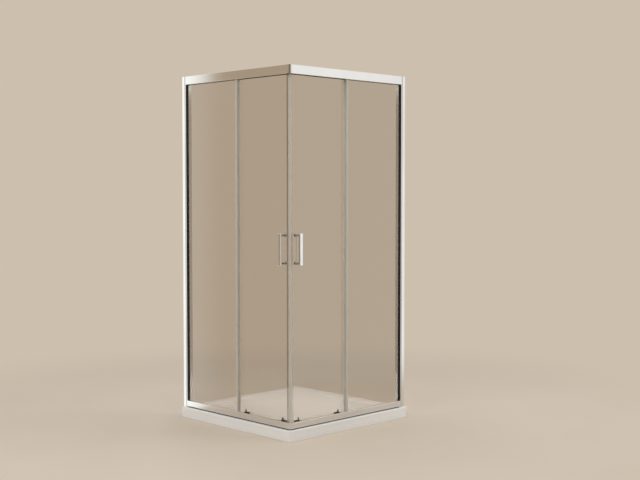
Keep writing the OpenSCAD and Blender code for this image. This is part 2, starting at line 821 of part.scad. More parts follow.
module roller_axles() color(steel) {
    start = door_d0 - seat_gap - bush_flange_t;
    collar_d0 = door_d1 + seat_gap;
    for (u = [wheel_lead_u, wheel_trail_u]) {
        inwards(u, start, axle_z)
            cylinder(h = wheel_d1 + axle_head_t - start, r = axle_d / 2);
        inwards(u, collar_d0, axle_z)
            cylinder(h = wheel_d0 - seat_gap - collar_d0, r = axle_d / 2 + 3.5);
        inwards(u, wheel_d1 + seat_gap, axle_z)
            cylinder(h = axle_head_t, r = axle_d / 2 + 1.5);
    }
}

// Grooved nylon wheel
module wheel(u) color(white_plastic) {
    side_w = (wheel_w - groove_w) / 2;
    bore_r = axle_d / 2 + fit;
    edge = 0.5;
    inwards(u, wheel_d0, axle_z) rotate_extrude() polygon([
        [bore_r, 0], [wheel_rim_r - edge, 0], [wheel_rim_r, edge], [wheel_rim_r, side_w - edge],
        [wheel_r, side_w], [wheel_r, wheel_w - side_w], [wheel_rim_r, wheel_w - side_w + edge],
        [wheel_rim_r, wheel_w - edge], [wheel_rim_r - edge, wheel_w], [bore_r, wheel_w]
    ]);
}

// Plastic block that grips the glass from below, with a slot for the bolt in its outer
// face and a foot behind the rail's fin
module guide(u) {
    half = guide_len / 2;
    difference() {
        union() {
            block([u - half, guide_d0, tray_h + guide_h0], [u + half, guide_d1, tray_h + guide_h1]);
            block([u - half, fin_d0 + wall_t + slide_gap, tray_h + guide_foot_h],
                [u + half, guide_d1, tray_h + guide_h1]);
        }
        block([u - half - over, door_d0 - seat_gap, door_z0 - seat_gap],
            [u + half + over, door_d1 + seat_gap, tray_h + guide_h1 + over]);
        block([u - bolt_w / 2 - slide_gap, bolt_d0 - slide_gap, tray_h + guide_h0 - over],
            [u + bolt_w / 2 + slide_gap, door_d0, tray_h + guide_h1 + over]);
        for (s = [-1, 1])
            inwards(u + s * half / 2, door_d1, tray_h + guide_grub_h())
                cylinder(h = guide_back_t + 2 * over, r = grub_r + fit);
    }
}

module guides() color(black_plastic) {
    guide(guide_lead_u);
    guide(guide_trail_u);
}

module guide_screws() color(steel)
    for (u = [guide_lead_u, guide_trail_u], s = [-1, 1])
        inwards(u + s * guide_len / 4, door_d1 + seat_gap, tray_h + guide_grub_h())
            cylinder(h = guide_back_t + 0.5, r = grub_r);

// Release bolt in front of the rail's fin, lifted by its thumb tab to free the door. Its
// lip rests on the guide, and its wider toe stops it under the guide.
module release_bolt(u) color(black_plastic) {
    half = bolt_w / 2;
    foot_z = tray_h + guide_foot_h;
    lip_z = tray_h + guide_h1 + slide_gap;
    block([u - half, bolt_d0, foot_z], [u + half, bolt_d1, lip_z + bolt_catch]);
    block([u - half, bolt_d0 - bolt_catch, lip_z], [u + half, bolt_d1, lip_z + bolt_catch]);
    block([u - half - bolt_catch, bolt_d0, foot_z], [u + half + bolt_catch, bolt_d1, foot_z + bolt_catch]);
    block([u + half - tab_w, bolt_d0, lip_z], [u + half, bolt_d1, tray_h + tab_h]);
}

// Places shared by several modules

function corner_leg_d1() = port_d_outer - port_r - slide_gap;
function corner_leg_mid() = (wall_t + corner_leg_d1()) / 2;
function corner_screw_low_z() = tray_h + (shadow_gap_h + bottom_rail_h - slot_depth) / 2;
function jamb_screw_u() = jamb_u1 - 4;
function wall_hole_mid_z() = tray_h + frame_h / 2;
function guide_grub_h() = (door_lift + guide_h1) / 2;

// The parts

shower_tray();
waste_cup();
waste_seal();
waste_flange();
waste_cover();

on_front() wall_profile();  // front_wall_profile
on_front() jamb();  // front_jamb
on_front() jamb_screws();  // front_jamb_screws
on_front() top_rail();  // front_top_rail
on_front() bottom_rail();  // front_bottom_rail
on_front() rail_screws();  // front_rail_screws
on_front() fixed_glass();  // front_fixed_glass
on_front() glass_gasket();  // front_glass_gasket
on_front() gasket_plugs();  // front_gasket_plugs
on_front() fixed_edge_strip();  // front_fixed_edge_strip
on_front() door_stops();  // front_door_stops

on_side() wall_profile();  // side_wall_profile
on_side() jamb();  // side_jamb
on_side() jamb_screws();  // side_jamb_screws
on_side() top_rail();  // side_top_rail
on_side() bottom_rail();  // side_bottom_rail
on_side() rail_screws();  // side_rail_screws
on_side() fixed_glass();  // side_fixed_glass
on_side() glass_gasket();  // side_glass_gasket
on_side() gasket_plugs();  // side_gasket_plugs
on_side() fixed_edge_strip();  // side_fixed_edge_strip
on_side() door_stops();  // side_door_stops

top_corner_piece();
bottom_corner_piece();
corner_screws();

on_front() door_glass();  // front_door_glass
on_front() magnetic_seal();  // front_magnetic_seal
on_front() magnet();  // front_magnet
on_front() trailing_seal();  // front_trailing_seal
on_front() handle();  // front_handle
on_front() handle_washers();  // front_handle_washers
on_front() handle_screws();  // front_handle_screws
on_front() roller_bushes();  // front_roller_bushes
on_front() roller_axles();  // front_roller_axles
on_front() guides();  // front_guides
on_front() guide_screws();  // front_guide_screws
on_front() wheel(wheel_lead_u);  // front_lead_wheel
on_front() wheel(wheel_trail_u);  // front_trail_wheel
on_front() release_bolt(guide_lead_u);  // front_lead_release
on_front() release_bolt(guide_trail_u);  // front_trail_release

on_side() door_glass();  // side_door_glass
on_side() magnetic_seal();  // side_magnetic_seal
on_side() magnet();  // side_magnet
on_side() trailing_seal();  // side_trailing_seal
on_side() handle();  // side_handle
on_side() handle_washers();  // side_handle_washers
on_side() handle_screws();  // side_handle_screws
on_side() roller_bushes();  // side_roller_bushes
on_side() roller_axles();  // side_roller_axles
on_side() guides();  // side_guides
on_side() guide_screws();  // side_guide_screws
on_side() wheel(wheel_lead_u);  // side_lead_wheel
on_side() wheel(wheel_trail_u);  // side_trail_wheel
on_side() release_bolt(guide_lead_u);  // side_lead_release
on_side() release_bolt(guide_trail_u);  // side_trail_release
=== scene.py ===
# %% [markdown]
# A shower enclosure, dressed for its picture
#
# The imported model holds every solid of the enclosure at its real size: tray, rails, glass,
# seals, rollers and guides. This lesson gives those solids their finishes, models the pieces
# that need softer shapes than the solids have, and lights the whole as in a studio.
# Everything is in metres, in the model's own frame: the wall profiles stand at -X and +Y,
# and the doors meet at the free corner, at +X -Y.

# %% Load the frame
import json
import math

import bpy
from mathutils import Matrix, Vector


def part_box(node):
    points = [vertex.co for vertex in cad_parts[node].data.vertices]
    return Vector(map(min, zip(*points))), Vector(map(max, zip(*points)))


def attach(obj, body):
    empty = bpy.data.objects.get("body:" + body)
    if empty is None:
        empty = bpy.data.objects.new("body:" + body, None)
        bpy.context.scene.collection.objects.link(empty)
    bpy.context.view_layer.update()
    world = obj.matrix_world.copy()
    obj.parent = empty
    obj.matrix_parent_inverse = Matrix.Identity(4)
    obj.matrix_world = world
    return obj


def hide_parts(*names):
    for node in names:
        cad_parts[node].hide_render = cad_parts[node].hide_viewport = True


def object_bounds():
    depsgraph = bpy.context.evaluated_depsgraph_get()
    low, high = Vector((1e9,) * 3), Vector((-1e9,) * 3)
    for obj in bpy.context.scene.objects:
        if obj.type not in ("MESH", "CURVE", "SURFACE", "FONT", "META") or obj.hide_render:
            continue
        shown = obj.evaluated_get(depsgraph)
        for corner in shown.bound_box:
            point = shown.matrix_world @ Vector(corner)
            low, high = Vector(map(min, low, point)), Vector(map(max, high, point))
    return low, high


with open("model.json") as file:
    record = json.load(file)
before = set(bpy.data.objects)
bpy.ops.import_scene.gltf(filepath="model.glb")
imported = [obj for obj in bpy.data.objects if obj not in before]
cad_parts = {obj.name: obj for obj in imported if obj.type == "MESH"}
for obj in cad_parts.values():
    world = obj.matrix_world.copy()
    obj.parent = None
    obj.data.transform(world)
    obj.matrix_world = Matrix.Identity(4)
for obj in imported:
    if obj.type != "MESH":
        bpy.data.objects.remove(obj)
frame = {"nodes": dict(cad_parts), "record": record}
bpy.ops.object.select_all(action="DESELECT")
cad_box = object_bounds()
cad_size = cad_box[1] - cad_box[0]
print("nodes:", len(frame["nodes"]), "size:", [round(length, 4) for length in cad_size])

# %% [markdown]
# Camera
#
# The enclosure is seen from in front of its free corner, from about 6 m away and a little
# over a metre above the floor. Place, turn and lens were fitted to the edges of the rails
# and the tray, so the picture's perspective is that of the real view.

# %% Put the camera in place
CAMERA_PLACE = (4.4174, -4.1431, 1.2778)
CAMERA_DIP = math.radians(2.65)
CAMERA_TURN = math.radians(45.44)
CAMERA_LENS = 60.88

bpy.ops.object.camera_add(location=CAMERA_PLACE)
camera = bpy.context.object
camera.rotation_euler = (math.radians(90) - CAMERA_DIP, 0, CAMERA_TURN)
camera.data.lens = CAMERA_LENS
bpy.context.scene.camera = camera
print("camera at", CAMERA_PLACE)

# %% [markdown]
# Small helpers
#
# A finish is a node tree, and all the trees here are built with one function that adds a
# node, fills its sockets and links what feeds it. Colours are written as the sRGB values
# that a colour picker shows, and one function turns them into the linear values that the
# shaders work in. Most finishes drift a little from place to place. That comes from noise,
# whose value seldom leaves 0.3 to 0.7, so that range is spread over the wanted one.

# %% Helpers for finishes
MM = 0.001
NOISE_LOW = 0.3
NOISE_HIGH = 0.7
NOISE_DETAIL = 3.0


def colour(hex_value):
    """Linear colour of an sRGB hex value such as #D0C3B2."""
    parts = [int(hex_value[i : i + 2], 16) / 255 for i in (1, 3, 5)]
    linear = [p / 12.92 if p <= 0.04045 else ((p + 0.055) / 1.055) ** 2.4 for p in parts]
    return (*linear, 1.0)


def add(tree, kind, inputs=None, **settings):
    """Adds a shader node. Each input is a plain value or the output that feeds it."""
    made = tree.nodes.new("ShaderNode" + kind)
    for name, value in settings.items():
        setattr(made, name, value)
    for socket, value in (inputs or {}).items():
        if isinstance(value, bpy.types.NodeSocket):
            tree.links.new(value, made.inputs[socket])
        else:
            made.inputs[socket].default_value = value
    return made


def finish_named(name, sockets):
    """Starts a material and returns it with its tree and its Principled shader."""
    material = bpy.data.materials.new(name)
    material.use_nodes = True
    tree = material.node_tree
    shader = tree.nodes["Principled BSDF"]
    for socket, value in sockets.items():
        shader.inputs[socket].default_value = value
    return material, tree, shader


def mottle(tree, size, low, high, stretch=(1, 1, 1)):
    """A soft noise with spots of the given size in metres, from low to high."""
    where = add(tree, "TexCoord")
    placed = add(tree, "Mapping", {"Vector": where.outputs["Object"], "Scale": stretch})
    noise_inputs = {"Vector": placed.outputs["Vector"], "Scale": 1 / size, "Detail": NOISE_DETAIL}
    noise = add(tree, "TexNoise", noise_inputs)
    spread = {
        "Value": noise.outputs["Fac"],
        "From Min": NOISE_LOW,
        "From Max": NOISE_HIGH,
        "To Min": low,
        "To Max": high,
    }
    return add(tree, "MapRange", spread).outputs["Result"]


def two_tones(tree, share, first, second):
    """A colour that goes from the first to the second as share goes from 0 to 1."""
    mixed = add(tree, "Mix", {0: share, 6: colour(first), 7: colour(second)}, data_type="RGBA")
    return mixed.outputs[2]


def grain(tree, shader, size, depth, stretch=(1, 1, 1)):
    """Gives a shader a relief of grains of that size and depth, in metres."""
    height = mottle(tree, size, 0.0, 1.0, stretch)
    bump = add(tree, "Bump", {"Height": height, "Distance": depth, "Strength": 1.0})
    tree.links.new(bump.outputs["Normal"], shader.inputs["Normal"])


# %% [markdown]
# Acrylic of the tray
#
# A low shower tray is a sheet of white acrylic, formed over a cast core. Its surface is
# glossy but not a mirror: the hot sheet keeps a faint orange peel, and the white drifts a
# little towards cream. So the colour is mixed from two close whites, and a shallow relief
# a few millimetres across breaks the reflections.

# %% Acrylic
WHITE_DRIFT = 350 * MM
PEEL_SIZE = 5 * MM
PEEL_DEPTH = 0.008 * MM


def formed_acrylic():
    sockets = {"IOR": 1.49, "Roughness": 0.24, "Coat Weight": 0.2, "Coat Roughness": 0.08}
    material, tree, shader = finish_named("formed_acrylic", sockets)
    tone = two_tones(tree, mottle(tree, WHITE_DRIFT, 0.0, 1.0), "#EFEEEC", "#EAE9E6")
    tree.links.new(tone, shader.inputs["Base Color"])
    grain(tree, shader, PEEL_SIZE, PEEL_DEPTH)
    return material


acrylic = formed_acrylic()
print("made", acrylic.name)

# %% [markdown]
# Bright aluminium of the frame
#
# The rails and profiles are extruded, polished along their length and anodised. Polishing
# leaves hair-fine lines that run with the profile, which stretch reflections sideways. The
# same noise is used for all three directions, squeezed across the profile and drawn out
# along it. The real lines are finer than the picture can show, so they are drawn 1.5 mm
# apart.

# %% Bright aluminium, one finish for each direction
ANODISING_DRIFT = 250 * MM
LINE_SIZE = 1.5 * MM
LINE_DEPTH = 0.006 * MM
LINE_LENGTH = 150


def bright_aluminium(name, axis):
    stretch = [1.0, 1.0, 1.0]
    stretch[axis] = 1 / LINE_LENGTH
    material, tree, shader = finish_named(name, {"Metallic": 1.0})
    tone = two_tones(tree, mottle(tree, ANODISING_DRIFT, 0.0, 1.0), "#ECECEB", "#E4E4E3")
    tree.links.new(tone, shader.inputs["Base Color"])
    tree.links.new(mottle(tree, LINE_SIZE, 0.13, 0.2, stretch), shader.inputs["Roughness"])
    grain(tree, shader, LINE_SIZE, LINE_DEPTH, stretch)
    return material


aluminium_x = bright_aluminium("bright_aluminium_front", 0)
aluminium_y = bright_aluminium("bright_aluminium_side", 1)
aluminium_z = bright_aluminium("bright_aluminium_upright", 2)
print("made", aluminium_x.name, aluminium_y.name, aluminium_z.name)

# %% [markdown]
# Chrome and stainless steel
#
# Handles with their screw caps, corner pieces and the flange of the waste are chromed: the
# plate is a near mirror, and only thin smudges left by wiping change how sharp it is. The
# other screws, the bushes and the axles are turned from stainless steel, which is duller
# and shows fine tool marks.

# %% Chrome and steel
PLATE_DRIFT = 50 * MM
SMUDGE_SIZE = 20 * MM
STEEL_DRIFT = 4 * MM
GLOSS_SPOT = 1 * MM
TOOL_MARK_SIZE = 0.6 * MM
TOOL_MARK_DEPTH = 0.01 * MM


def chrome_plate():
    material, tree, shader = finish_named("chrome_plate", {"Metallic": 1.0})
    tone = two_tones(tree, mottle(tree, PLATE_DRIFT, 0.0, 1.0), "#ECEDEE", "#E4E5E8")
    tree.links.new(tone, shader.inputs["Base Color"])
    tree.links.new(mottle(tree, SMUDGE_SIZE, 0.03, 0.08), shader.inputs["Roughness"])
    return material


def turned_steel():
    material, tree, shader = finish_named("turned_steel", {"Metallic": 1.0})
    tone = two_tones(tree, mottle(tree, STEEL_DRIFT, 0.0, 1.0), "#C4C4C2", "#B4B4B4")
    tree.links.new(tone, shader.inputs["Base Color"])
    tree.links.new(mottle(tree, GLOSS_SPOT, 0.25, 0.38), shader.inputs["Roughness"])
    grain(tree, shader, TOOL_MARK_SIZE, TOOL_MARK_DEPTH)
    return material


chrome = chrome_plate()
steel = turned_steel()
print("made", chrome.name, steel.name)

# %% [markdown]
# Toughened glass
#
# The panes are 5 mm toughened float glass. Seen face on it takes about a third of the
# light: part of that is the glass's own, and part is painted shade, standing for the shade
# that lies behind the panes. Its cut edges show the green of the iron in it, because there
# the light runs through the glass lengthwise. Toughening on rollers leaves waves a hand's
# breadth apart.
# A pane would shut out the lamps in a path tracer, as it bends every ray, so a second
# shader lets the rays that look for a lamp pass straight through, dimmed as the glass dims.

# %% Glass face and glass edge
WAVE_SIZE = 120 * MM
WAVE_DEPTH = 0.02 * MM


def toughened_glass(name, tint, dullness):
    sockets = {
        "Base Color": colour(tint),
        "Roughness": dullness,
        "IOR": 1.5,
        "Transmission Weight": 1.0,
    }
    material, tree, shader = finish_named(name, sockets)
    grain(tree, shader, WAVE_SIZE, WAVE_DEPTH)
    path = add(tree, "LightPath")
    one_side = [math.sqrt(share) for share in colour(tint)[:3]]
    straight = add(tree, "BsdfTransparent", {"Color": (*one_side, 1.0)})
    both = add(
        tree,
        "MixShader",
        {0: path.outputs["Is Shadow Ray"], 1: shader.outputs["BSDF"], 2: straight.outputs["BSDF"]},
    )
    tree.links.new(both.outputs["Shader"], tree.nodes["Material Output"].inputs["Surface"])
    return material


# The face's tint is partly the glass's own and partly painted shade for what lies behind the
# panes.
glass_face = toughened_glass("toughened_glass", "#D7D1C9", 0.0)
glass_edge = toughened_glass("polished_glass_edge", "#9DB8A8", 0.05)
print("made", glass_face.name, glass_edge.name)

# %% [markdown]
# Rubber and plastics
#
# Gaskets, stops and plugs are extruded or moulded black rubber, dull with a fine bloom.
# Guides and release bolts are glass-filled nylon, whose mould was etched, so they carry a
# fine grain. The wheels are turned acetal, white and slightly waxy. The seals are soft PVC:
# clear on the fixed panes, frosted on the trailing edges, milky round the magnets.

# %% Rubber, nylon, acetal and the waste's grey plastic
PLASTIC_DRIFT = 12 * MM
BLOOM_SIZE = 6 * MM


def dull_plastic(name, tones, roughness, grain_size, grain_depth, extra=None):
    material, tree, shader = finish_named(name, extra or {})
    tone = two_tones(tree, mottle(tree, PLASTIC_DRIFT, 0.0, 1.0), *tones)
    tree.links.new(tone, shader.inputs["Base Color"])
    tree.links.new(mottle(tree, BLOOM_SIZE, *roughness), shader.inputs["Roughness"])
    grain(tree, shader, grain_size, grain_depth)
    return material


waxy = {"Subsurface Weight": 0.1, "Subsurface Radius": (2 * MM, 2 * MM, 2 * MM)}
black_tones = ("#1B1A1A", "#262423")
nylon_tones = ("#1D1D1F", "#252527")
white_tones = ("#EEECE6", "#E6E3DB")
grey_tones = ("#6E6B67", "#777470")
ferrite_tones = ("#2B2826", "#353230")
rubber = dull_plastic("extruded_rubber", black_tones, (0.55, 0.7), 0.8 * MM, 0.03 * MM)
nylon = dull_plastic("etched_nylon", nylon_tones, (0.38, 0.48), 0.5 * MM, 0.02 * MM)
acetal = dull_plastic("turned_acetal", white_tones, (0.3, 0.4), 0.7 * MM, 0.01 * MM, waxy)
polypropylene = dull_plastic("moulded_polypropylene", grey_tones, (0.4, 0.5), 0.8 * MM, 0.02 * MM)
ferrite = dull_plastic("ferrite_strip", ferrite_tones, (0.5, 0.65), 0.6 * MM, 0.02 * MM)
print("made", rubber.name, nylon.name, acetal.name, polypropylene.name, ferrite.name)

# %% [markdown]
# Soft PVC
#
# The seals come out of the die with long soft waves and a satin gloss. Soft PVC hides a
# share of what lies behind it, small where it is clear and large where it is milky or
# frosted. Transmission could show that as well, but it scatters light and needs many more
# samples to come out clean, so the share is given as the shader's alpha.

# %% Soft PVC of the seals
PVC_DRIFT = 30 * MM
PVC_GLOSS_SPOT = 10 * MM
PVC_GLOSS = (0.25, 0.35)
DIE_WAVE_SIZE = 20 * MM
DIE_WAVE_DEPTH = 0.005 * MM
DIE_WAVE_STRETCH = (1, 1, 0.05)


def soft_pvc(name, tones, cover):
    """Cover is the share of the view that one face of the plastic hides."""
    material, tree, shader = finish_named(name, {"IOR": 1.53, "Alpha": cover})
    tone = two_tones(tree, mottle(tree, PVC_DRIFT, 0.0, 1.0), *tones)
    tree.links.new(tone, shader.inputs["Base Color"])
    tree.links.new(mottle(tree, PVC_GLOSS_SPOT, *PVC_GLOSS), shader.inputs["Roughness"])
    grain(tree, shader, DIE_WAVE_SIZE, DIE_WAVE_DEPTH, DIE_WAVE_STRETCH)
    return material


clear_pvc = soft_pvc("clear_pvc", ("#EDE9DF", "#E5E1D6"), 0.45)
frosted_pvc = soft_pvc("frosted_pvc", ("#F2EEE5", "#EAE5DB"), 0.8)
milky_pvc = soft_pvc("milky_pvc", ("#E6DFD4", "#DED7CC"), 0.6)
glassy_pvc = soft_pvc("glassy_pvc", ("#DEDACE", "#D6D2C6"), 0.1)
# Front corner seal's clip and its cut edges: painted dark, standing for dark surroundings that
# clear plastic bends into a line.
painted_dark_clip_pvc = soft_pvc("clear_pvc_painted_dark_line", ("#4A443B", "#423C34"), 0.1)
painted_darker_edge_pvc = soft_pvc("clear_pvc_cut_edge_painted_darker", ("#332E27", "#2B2620"), 0.9)
print("made", clear_pvc.name, frosted_pvc.name, milky_pvc.name)
print("made", glassy_pvc.name, painted_dark_clip_pvc.name, painted_darker_edge_pvc.name)

# %% [markdown]
# Finishes of the solids
#
# Every solid of the model gets its finish by name, and pieces modelled later take it over.
# Rails take the aluminium whose lines run their way: the front panel lies along X, the side
# panel along Y, and all uprights along Z.

# %% Give each solid its finish
SHARED_FINISHES = {
    "shower_tray": acrylic,
    "waste_cup": polypropylene,
    "waste_seal": rubber,
    "waste_flange": chrome,
    "waste_cover": acrylic,
    "top_corner_piece": chrome,
    "bottom_corner_piece": chrome,
    "corner_screws": steel,
}
PANEL_FINISHES = {
    "wall_profile": aluminium_z,
    "jamb": aluminium_z,
    "jamb_screws": steel,
    "rail_screws": steel,
    "fixed_glass": glass_face,
    "glass_gasket": rubber,
    "gasket_plugs": rubber,
    "fixed_edge_strip": clear_pvc,
    "door_stops": rubber,
    "door_glass": glass_face,
    "magnetic_seal": milky_pvc,
    "magnet": ferrite,
    "trailing_seal": frosted_pvc,
    "handle": chrome,
    "handle_washers": clear_pvc,
    "handle_screws": chrome,
    "roller_bushes": steel,
    "roller_axles": steel,
    "guides": nylon,
    "guide_screws": steel,
    "lead_wheel": acetal,
    "trail_wheel": acetal,
    "lead_release": nylon,
    "trail_release": nylon,
}
PANELS = {"front": aluminium_x, "side": aluminium_y}

finish_of = dict(SHARED_FINISHES)
for panel, rail_aluminium in PANELS.items():
    for node_name, finish in PANEL_FINISHES.items():
        finish_of[f"{panel}_{node_name}"] = finish
    for rail in ("top_rail", "bottom_rail"):
        finish_of[f"{panel}_{rail}"] = rail_aluminium

for node_name, node_object in frame["nodes"].items():
    node_object.data.materials.clear()
    node_object.data.materials.append(finish_of[node_name])
print("finished solids:", len(frame["nodes"]))

# %% [markdown]
# Helpers for modelling
#
# Operators act on what is selected, so each step first selects its object and nothing else.
# A modelled piece rides on the same body as the solid that it stands for, and has the same
# finish.

# %% Selection, modifiers and standing in for a solid
BODY_OF = {}
for body_name, members in frame["record"]["behaviour"]["bodies"].items():
    BODY_OF.update(dict.fromkeys(members, body_name))
SHARP_ANGLE = 40
FLAT_WEIGHT = 80


def pick(*pieces):
    bpy.ops.object.select_all(action="DESELECT")
    for piece in pieces:
        piece.select_set(True)
    bpy.context.view_layer.objects.active = pieces[0]


def edit(piece):
    """Opens a piece for editing with nothing selected."""
    pick(piece)
    bpy.ops.object.mode_set(mode="EDIT")
    bpy.ops.mesh.select_all(action="DESELECT")


def leave():
    bpy.ops.object.mode_set(mode="OBJECT")


def apply_modifier(piece, kind, **settings):
    pick(piece)
    modifier = piece.modifiers.new(kind.lower(), kind)
    for name, value in settings.items():
        setattr(modifier, name, value)
    bpy.ops.object.modifier_apply(modifier=modifier.name)


def smooth(piece, sharpest=SHARP_ANGLE):
    """Smooth shading that keeps flat faces flat beside rounded edges."""
    pick(piece)
    bpy.ops.object.shade_smooth_by_angle(angle=math.radians(sharpest))
    apply_modifier(piece, "WEIGHTED_NORMAL", keep_sharp=True, weight=FLAT_WEIGHT)


def stand_for(piece, *node_names):
    """Puts the piece in the place of these solids: same body, same finish."""
    first = node_names[0]
    piece.data.materials.clear()
    piece.data.materials.append(finish_of[first])
    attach(piece, BODY_OF[first])
    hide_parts(*node_names)
    print(f"{piece.name}: {len(piece.data.polygons)} faces")


# %% [markdown]
# Softened copies
#
# Extruded, moulded and plated pieces have no knife edges: a radius of a few tenths of a
# millimetre catches a line of light. For these the solid is right but for that radius, so
# its triangles are copied, merged into clean faces, and their sharp edges bevelled. Where
# only some edges are rounded, such as the long outer ones of an extrusion, they are chosen
# by their place and marked with a bevel weight.

# %% Round the edges of a copy of a solid
WELD = 0.01 * MM
FLAT = math.radians(0.4)
CAP_RADIUS = 0.6 * MM
SCREW_HEAD_RADIUS = 0.3 * MM


def merged_copy(node_name, piece_name):
    """A copy of a solid whose loose triangles are joined into whole faces."""
    piece = bpy.data.objects.new(piece_name, frame["nodes"][node_name].data.copy())
    bpy.context.scene.collection.objects.link(piece)
    edit(piece)
    bpy.ops.mesh.customdata_custom_splitnormals_clear()
    bpy.ops.mesh.select_all(action="SELECT")
    bpy.ops.mesh.remove_doubles(threshold=WELD)
    bpy.ops.mesh.dissolve_limited(angle_limit=FLAT)
    leave()
    return piece


def bevel_sharp_edges(piece, width, segments):
    apply_modifier(
        piece,
        "BEVEL",
        width=width,
        segments=segments,
        limit_method="ANGLE",
        angle_limit=math.radians(SHARP_ANGLE),
    )


def softened(node_name, piece_name, radius, segments=2):
    """A copy with every sharp edge rounded."""
    piece = merged_copy(node_name, piece_name)
    bevel_sharp_edges(piece, radius, segments)
    smooth(piece)
    stand_for(piece, node_name)


for name in ("top_corner_piece", "bottom_corner_piece"):
    softened(name, name.replace("piece", "cap"), CAP_RADIUS, 3)
softened("corner_screws", "corner_screw_heads", SCREW_HEAD_RADIUS)

# %% [markdown]
# Rails and uprights
#
# The die of an extrusion rounds the outer edges more than the inner ones: 2 mm on the
# rails, and 1.2 mm on the thinner wall profiles. These are the long edges of the outer face
# and those at the corners of the section's box, so an edge is chosen where both its ends
# are on one of them.

# %% Extrusions with rounded outer edges
RAIL_RADIUS = 2.0 * MM
PROFILE_RADIUS = 1.2 * MM
NEAR = 0.2 * MM
LONG = 100 * MM
BEVEL_WEIGHT = "bevel_weight_edge"


def rounded_extrusion(node_name, axis, radius, face):
    """Rounds the long edges at the section's corners and on the face, given as axis and place."""
    piece = merged_copy(node_name, f"{node_name}_extrusion")
    low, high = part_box(node_name)
    across = [i for i in range(3) if i != axis]
    face_axis, face_place = face
    weights = piece.data.attributes.new(BEVEL_WEIGHT, "FLOAT", "EDGE")
    count = 0
    for edge in piece.data.edges:
        ends = [piece.data.vertices[i].co for i in edge.vertices]
        along = abs(ends[0][axis] - ends[1][axis])
        at_corner = all(
            min(abs(end[i] - low[i]), abs(end[i] - high[i])) < NEAR for end in ends for i in across
        )
        on_face = all(abs(end[face_axis] - face_place) < NEAR for end in ends)
        if along > LONG and (at_corner or on_face):
            weights.data[edge.index].value = 1.0
            count += 1
    apply_modifier(piece, "BEVEL", width=radius, segments=3, limit_method="WEIGHT")
    smooth(piece)
    stand_for(piece, node_name)
    print("  rounded edges:", count)


UPRIGHT = 2
AXES = {"front": 0, "side": 1}
OUTER_FACES = {
    "front": (1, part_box("front_top_rail")[0][1]),
    "side": (0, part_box("side_top_rail")[1][0]),
}
for panel, axis in AXES.items():
    for rail in ("top_rail", "bottom_rail"):
        rounded_extrusion(f"{panel}_{rail}", axis, RAIL_RADIUS, OUTER_FACES[panel])
    rounded_extrusion(f"{panel}_wall_profile", UPRIGHT, PROFILE_RADIUS, OUTER_FACES[panel])

# %% [markdown]
# Panes
#
# The edges of toughened glass are ground and polished before it goes into the furnace, so
# each has a small 45 degree arris. The cut faces get their own finish, because the green of
# the iron only shows there.

# %% Glass with ground edges
ARRIS = 0.8 * MM
FACING = 0.99
THROUGH = {"front": 1, "side": 0}


def ground_pane(panel, kind):
    node_name = f"{panel}_{kind}_glass"
    piece = merged_copy(node_name, f"{panel}_{kind}_pane")
    bevel_sharp_edges(piece, ARRIS, 1)
    stand_for(piece, node_name)
    piece.data.materials.append(glass_edge)
    for face in piece.data.polygons:
        face.material_index = 0 if abs(face.normal[THROUGH[panel]]) > FACING else 1


for panel in PANELS:
    ground_pane(panel, "fixed")
    ground_pane(panel, "door")

# %% [markdown]
# Small fittings
#
# Guides, bolts, stops and plugs come out of moulds, screw heads out of a press and seals
# out of a die, and none of these leaves an edge sharp. The radius goes by the kind of
# piece, from 0.2 mm on the thin washers to 0.8 mm on the rubber stops.

# %% Fittings of both panels
FITTING_RADIUS = {
    "guides": 0.4 * MM,
    "lead_release": 0.4 * MM,
    "trail_release": 0.4 * MM,
    "door_stops": 0.8 * MM,
    "gasket_plugs": 0.6 * MM,
    "jamb_screws": 0.3 * MM,
    "handle_screws": 0.5 * MM,
    "handle_washers": 0.2 * MM,
    "magnetic_seal": 0.25 * MM,
    "trailing_seal": 0.25 * MM,
    "fixed_edge_strip": 0.25 * MM,
}
for panel in PANELS:
    for name, radius in FITTING_RADIUS.items():
        softened(f"{panel}_{name}", f"{panel}_{name}_soft", radius)

# %% [markdown]
# Corner seals
#
# Each corner seal is drawn through the die from two plastics at once: a milky head that
# holds the magnet, and a clear clip on the glass. So the head shows as a light line. In the
# real view a fine dark line runs beside it, on the front door's side only. Clear plastic
# can bend dark surroundings into such a line, but the plain background here has none to
# bend, so that line is painted: the front clip is painted dark, and its cut edges darker
# still. The side door's clip stays clear. The limit between head and clip is cut into the
# mesh with a bisect at the edge of the door's glass, and each face gets its finish by place.

# %% Head and clip of the corner seals
FREE_END = {"front": 1, "side": 0}
# The front clip and its cut edges carry the painted dark line; the side clip stays clear.
CLIP_AND_EDGE = {"front": (painted_dark_clip_pvc, painted_darker_edge_pvc), "side": (glassy_pvc, glassy_pvc)}
AT_EDGE = 0.1 * MM
HEAD, CLIP, CUT_EDGE = range(3)


def dress_corner_seal(panel):
    piece = bpy.data.objects[f"{panel}_magnetic_seal_soft"]
    along = AXES[panel]
    free_end = FREE_END[panel]
    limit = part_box(f"{panel}_door_glass")[free_end][along]
    clip_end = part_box(f"{panel}_magnetic_seal")[1 - free_end][along]
    place = Vector()
    place[along] = limit
    facing = Vector()
    facing[along] = 1.0
    edit(piece)
    bpy.ops.mesh.select_all(action="SELECT")
    bpy.ops.mesh.bisect(plane_co=place, plane_no=facing)
    leave()
    for finish in CLIP_AND_EDGE[panel]:
        piece.data.materials.append(finish)
    counts = [0, 0, 0]
    for face in piece.data.polygons:
        middle = face.center[along]
        in_clip = min(limit, clip_end) < middle < max(limit, clip_end)
        if abs(middle - clip_end) < AT_EDGE:
            face.material_index = CUT_EDGE
        else:
            face.material_index = CLIP if in_clip else HEAD
        counts[face.material_index] += 1
    print(piece.name, "faces of head, clip and cut edges:", counts)


for panel in PANELS:
    dress_corner_seal(panel)
